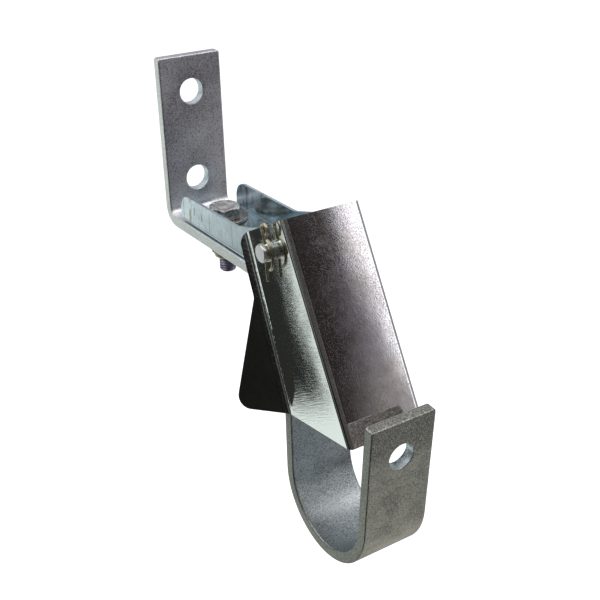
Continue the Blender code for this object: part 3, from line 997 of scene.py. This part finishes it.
def gate_look():
    """Glossy zinc on sheet: wavy, speckled, streaked on the side panels, and pitted along the rear folds. The
    side panels are painted lighter, as a painted sheen.
    """
    look = Look("gate_zinc")
    blank = GateBlank()
    zinc_dark, zinc_light, speck_grey = (0.56, 0.53, 0.53), (0.68, 0.67, 0.71), (0.34, 0.31, 0.33)
    # The side panels' colour is a painted sheen
    painted_side_sheen = (0.76, 0.80, 0.78)
    pit_span = (3.2 * MM, 2.0 * MM)  # from the fold's middle

    wave = look.noise(28, 2, 0.4)
    cloud = look.noise(75, 4, 0.65)
    speck = look.noise(1500, 3, 0.65)
    side = look.spread(look.facing("X"), 0.86, 0.97)
    streak = look.noise(40, 4, 0.6, stretch=(1, 2.2, 34))
    # How far a place is from the wing's fold, across it
    fold_y = (blank.wing_point[0] - PIN_TO_WEB) * MM
    fold_z = -blank.wing_point[1] * MM
    across = look.sum(
        look.times(look.sum(look.place("Y"), -fold_y), blank.out.x),
        look.times(look.sum(look.place("Z"), -fold_z), -blank.out.y),
    )
    near_fold = look.spread(look.sum(across, None, "ABSOLUTE"), *pit_span)
    colour = look.mix(look.spread(cloud, *NOISE_SPAN), zinc_dark, zinc_light)
    colour = look.mix(look.spread(speck, 0.50, 0.62, 0.0, 0.8), colour, speck_grey)
    # Painted sheen: the side panels, which face across X, are painted lighter
    colour = look.mix(side, colour, painted_side_sheen)
    rough = look.spread(speck, 0.42, 0.66, 0.035, 0.115)
    # The side panels are smoother: a fifth of it, and a little
    rough = look.sum(rough, look.times(side, look.sum(look.times(rough, -0.8), 0.015)))
    normal = look.bump(wave, 0.5 * MM, 0.2)
    fine = look.times(speck, look.spread(side, 0.0, 1.0, 1.0, 0.4))
    normal = look.bump(fine, 0.009 * MM, 0.8, normal)
    normal = look.bump(look.times(streak, side), 0.028 * MM, 0.7, normal)
    pit = look.times(look.noise(650, 2, 0.5), near_fold)
    normal = look.bump(pit, 0.12 * MM, 0.7, normal)
    return look.done(colour, rough, normal)


def plain_look(name, dark, light, rough, grain_scale=900, grain=0.06, metallic=1.0):
    """A small part's finish: a cloudy colour, an uneven roughness and a fine grain, its depth in mm."""
    look = Look(name)
    cloud = look.noise(220, 4, 0.6)
    fine = look.noise(grain_scale, 3, 0.6)
    colour = look.mix(look.spread(cloud, *NOISE_SPAN), dark, light)
    roughness = look.spread(fine, 0.3, 0.7, *rough)
    return look.done(colour, roughness, look.bump(fine, grain * MM, 0.6), metallic)


def cut_end_look():
    """The pin's finish: bright zinc, with a pale and rough sawn end."""
    look = Look("pin_zinc")
    body_dark, body_light = (0.50, 0.50, 0.48), (0.72, 0.72, 0.70)
    sawn_dark, sawn_light = (0.86, 0.88, 0.88), (0.98, 0.98, 0.98)
    fine = look.noise(900, 3, 0.6)
    saw = look.noise(60, 3, 0.6, stretch=(30, 2, 1))
    end = look.spread(look.facing("X"), 0.9, 0.97)
    body = look.mix(look.spread(fine, *NOISE_SPAN), body_dark, body_light)
    sawn = look.mix(look.spread(saw, *NOISE_SPAN), sawn_dark, sawn_light)
    rough = look.spread(end, 0.0, 1.0, 0.22, 0.62)
    return look.done(look.mix(end, body, sawn), rough, look.bump(fine, 0.02 * MM, 0.6))


# ---------------------------------------------------------------- floor, light and camera


ROOM = (0.40, 0.42, 0.43)
ACROSS = (1.0, 0.0, 0.0)
UP = (0.0, 0.0, 1.0)
# Each panel: its middle, how many degrees around that are solid, where it ends, and its shade
FIRST_PANELS = (
    ((0.0, 0.2, 1.0), 30, 75, (0.78, 0.80, 0.84)),  # the ceiling
    ((0.0, 0.3, -1.0), 30, 60, (0.55, 0.55, 0.52)),  # underneath
    ((0.45, -0.45, 0.75), 12, 28, (0.26, 0.26, 0.29)),  # high in front
    ((-0.45, 0.80, -0.40), 14, 30, (0.92, 0.97, 0.94)),  # behind on the left, and low
)
SIDE_PANELS = (
    ((-0.82, 0.52, -0.22), 15, 23, (0.04, 0.04, 0.035)),  # what the gate's rear fold mirrors
    ((-0.83, -0.40, -0.40), 26, 44, (0.015, 0.016, 0.014)),  # what its flared wing mirrors
    ((-0.40, -0.85, 0.20), 30, 50, (0.10, 0.10, 0.09)),  # in front on the left
    ((0.25, -0.95, -0.05), 26, 42, (0.14, 0.132, 0.14)),  # what the wall leg mirrors
)
# The dark patch, and the steps that cut it off. A step is 0 at its first value and 1 at its second
DARK_PATCH = ((-0.44, 0.77, -0.44), 10, 13)
PATCH_LEFT = (-0.4840, -0.4750)
PATCH_BOTTOM = (-0.538, -0.516)
PATCH_TOP = (-0.392, -0.400)
PATCH_RIGHT = (-0.440, -0.446)
PATCH_SHADE = (0.025, 0.027, 0.025)
# What is ahead
AHEAD = ((0.50, -0.78, 0.36), 16, 24)
AHEAD_SHADE = (0.030, 0.026, 0.024)
BAND_ACROSS = (1.0, 0.0, -0.15)
BAND_EDGE = (0.450, 0.474)
BAND_SHADE = (0.155, 0.143, 0.16)
BAND_LOW = (0.36, 0.28)
BAND_LOW_SHADE = (0.35, 0.33, 0.32)
LAMP_ACROSS = (1.0, 0.0, 0.09)
LAMP_EDGE = (0.572, 0.580)
LAMP_SHADE = (2.2, 2.2, 2.2)
LIGHTS_AIM = (0, -0.1, -0.05)
FLOOR_DROP = 0.25
FLOOR_REACH = 9.0
FLOOR_GLOW = 0.6


class Sky:
    """The world's colour by direction: a grey room, with soft areas painted over it one by one."""

    def __init__(self, tree, room):
        self.tree = tree
        self.direction = tree.nodes.new("ShaderNodeTexCoord").outputs["Generated"]
        self.colour = tree.nodes.new("ShaderNodeRGB").outputs[0]
        self.colour.default_value = (*room, 1.0)

    def step(self, value, start, end):
        """A smooth step from 0 at start to 1 at end."""
        made = self.tree.nodes.new("ShaderNodeMapRange")
        made.interpolation_type = "SMOOTHSTEP"
        made.inputs["From Min"].default_value = start
        made.inputs["From Max"].default_value = end
        self.tree.links.new(value, made.inputs["Value"])
        return made.outputs["Result"]

    def along(self, axis):
        made = self.tree.nodes.new("ShaderNodeVectorMath")
        made.operation = "DOT_PRODUCT"
        made.inputs[1].default_value = axis
        self.tree.links.new(self.direction, made.inputs[0])
        return made.outputs["Value"]

    def around(self, middle, solid, end):
        """1 within solid degrees of the middle, falling to 0 at end degrees."""
        value = self.along(Vector(middle).normalized())
        return self.step(value, math.cos(math.radians(end)), math.cos(math.radians(solid)))

    def combine(self, operation, first, second):
        made = self.tree.nodes.new("ShaderNodeMath")
        made.operation = operation
        self.tree.links.new(first, made.inputs[0])
        self.tree.links.new(second, made.inputs[1])
        return made.outputs["Value"]

    def both(self, *masks):
        product = masks[0]
        for mask in masks[1:]:
            product = self.combine("MULTIPLY", product, mask)
        return product

    def either(self, first, second):
        return self.combine("MAXIMUM", first, second)

    def panels(self, panels):
        for middle, solid, end, shade in panels:
            self.paint(self.around(middle, solid, end), shade)

    def paint(self, mask, shade):
        mixed = self.tree.nodes.new("ShaderNodeMix")
        mixed.data_type = "RGBA"
        factor, first, second = [socket for socket in mixed.inputs if socket.enabled]
        self.tree.links.new(mask, factor)
        self.tree.links.new(self.colour, first)
        second.default_value = (*shade, 1.0)
        self.colour = next(socket for socket in mixed.outputs if socket.enabled)


def make_world():
    """A studio of soft panels. Each flat face of the object mirrors one small area of it to the camera."""
    world = bpy.data.worlds.new("studio")
    bpy.context.scene.world = world
    world.use_nodes = True
    tree = world.node_tree
    sky = Sky(tree, ROOM)
    across, height = sky.along(ACROSS), sky.along(UP)
    sky.panels(FIRST_PANELS)

    # The near sides mirror the bright panel behind on the left. The gate's side also has a dark patch in it,
    # which is cut off at the top so that the channel's near flange misses it
    patch = sky.both(
        sky.around(*DARK_PATCH),
        sky.step(across, *PATCH_LEFT),
        sky.step(height, *PATCH_BOTTOM),
        sky.either(sky.step(height, *PATCH_TOP), sky.step(across, *PATCH_RIGHT)),
    )
    sky.paint(patch, PATCH_SHADE)
    sky.panels(SIDE_PANELS)

    # The gate's web mirrors what is ahead: dark, then a grey band that is lighter low down, then the lamp
    ahead = sky.around(*AHEAD)
    sky.paint(ahead, AHEAD_SHADE)
    band = sky.step(sky.along(BAND_ACROSS), *BAND_EDGE)
    sky.paint(sky.both(ahead, band), BAND_SHADE)
    sky.paint(sky.both(ahead, band, sky.step(height, *BAND_LOW)), BAND_LOW_SHADE)
    sky.paint(sky.both(ahead, sky.step(sky.along(LAMP_ACROSS), *LAMP_EDGE)), LAMP_SHADE)
    tree.links.new(sky.colour, tree.nodes["Background"].inputs["Color"])


def make_light(name, at, size, power):
    data = bpy.data.lights.new(name, "AREA")
    data.shape = "DISK"
    data.size = size
    data.energy = power
    light = bpy.data.objects.new(name, data)
    bpy.context.scene.collection.objects.link(light)
    light.location = at
    light.rotation_euler = (Vector(LIGHTS_AIM) - Vector(at)).to_track_quat("-Z", "Y").to_euler()


def make_floor():
    """A white sheet far below, which glows a little and isn't mirrored in the object."""
    look = Look("floor_white")
    tone = look.spread(look.noise(3, 2, 0.5), 0.3, 0.7, 0.93, 0.96)
    colour = look.mix(tone, (0.0, 0.0, 0.0), (1.0, 1.0, 1.0))
    look.shader.inputs["Emission Color"].default_value = (1.0, 1.0, 1.0, 1.0)
    look.shader.inputs["Emission Strength"].default_value = FLOOR_GLOW
    look.done(colour, roughness=0.8, metallic=0.0)
    bm = bmesh.new()
    bmesh.ops.create_grid(bm, x_segments=8, y_segments=8, size=FLOOR_REACH)
    floor = mesh_object("floor", bm, look.material)
    floor.location = (0, 0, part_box("hook_bar")[0].z - FLOOR_DROP)
    floor.visible_glossy = False


def make_camera():
    data = bpy.data.cameras.new("camera")
    data.lens = CAMERA_LENS
    data.sensor_width = CAMERA_SENSOR
    data.clip_start = CAMERA_NEAR
    camera = bpy.data.objects.new("camera", data)
    bpy.context.scene.collection.objects.link(camera)
    azimuth = Matrix.Rotation(-CAMERA_AZIMUTH, 3, "Z")
    down = Matrix.Rotation(math.pi / 2 - CAMERA_DOWN, 3, "X")
    roll = Matrix.Rotation(CAMERA_ROLL, 3, "Z")
    camera.rotation_euler = (azimuth @ down @ roll).to_euler()
    camera.location = CAMERA_AT
    bpy.context.scene.camera = camera


def main():
    for obj in [o for o in bpy.data.objects if o.name in ("Cube", "Light", "Camera")]:
        bpy.data.objects.remove(obj, do_unlink=True)
    bpy.context.scene.view_settings.view_transform = "Standard"
    make_camera()
    make_world()
    make_light("key", at=(0.5, -0.7, 1.1), size=0.9, power=4.5)
    make_light("fill", at=(-1.0, 0.3, 0.7), size=1.2, power=4)
    make_floor()
    fastener = plain_look("fastener_zinc", (0.34, 0.33, 0.32), (0.78, 0.78, 0.76), (0.18, 0.42), 700, 0.09)
    pin_look = cut_end_look()
    thread = plain_look("thread_zinc", (0.16, 0.14, 0.22), (0.34, 0.32, 0.40), (0.25, 0.4))
    washer = plain_look("washer_zinc", (0.38, 0.35, 0.32), (0.56, 0.53, 0.50), (0.2, 0.35))
    yellow = plain_look("nut_zinc", (0.38, 0.36, 0.26), (0.62, 0.59, 0.46), (0.28, 0.45))
    brass = plain_look("clip_wire", (0.36, 0.32, 0.22), (0.62, 0.57, 0.42), (0.2, 0.35))
    steel = plain_look("spring_wire", (0.22, 0.22, 0.22), (0.40, 0.40, 0.40), (0.25, 0.4))
    nylon = plain_look("nut_nylon", (0.05, 0.06, 0.09), (0.09, 0.10, 0.14), (0.4, 0.6), metallic=0.0)
    make_bar(bar_look())
    make_channel(channel_look())
    make_gate(gate_look())
    make_pin(pin_look)
    make_clip(brass)
    make_spring(steel)
    make_bolt(fastener, thread)
    for node in ("head_washer", "nut_washer"):
        make_ring(node, WASHER_IN, WASHER_EDGE, "fastener_zinc", washer)
    make_nut(yellow)
    make_ring("nut_insert", INSERT_IN, INSERT_EDGE, "nut_nylon", nylon)


main()
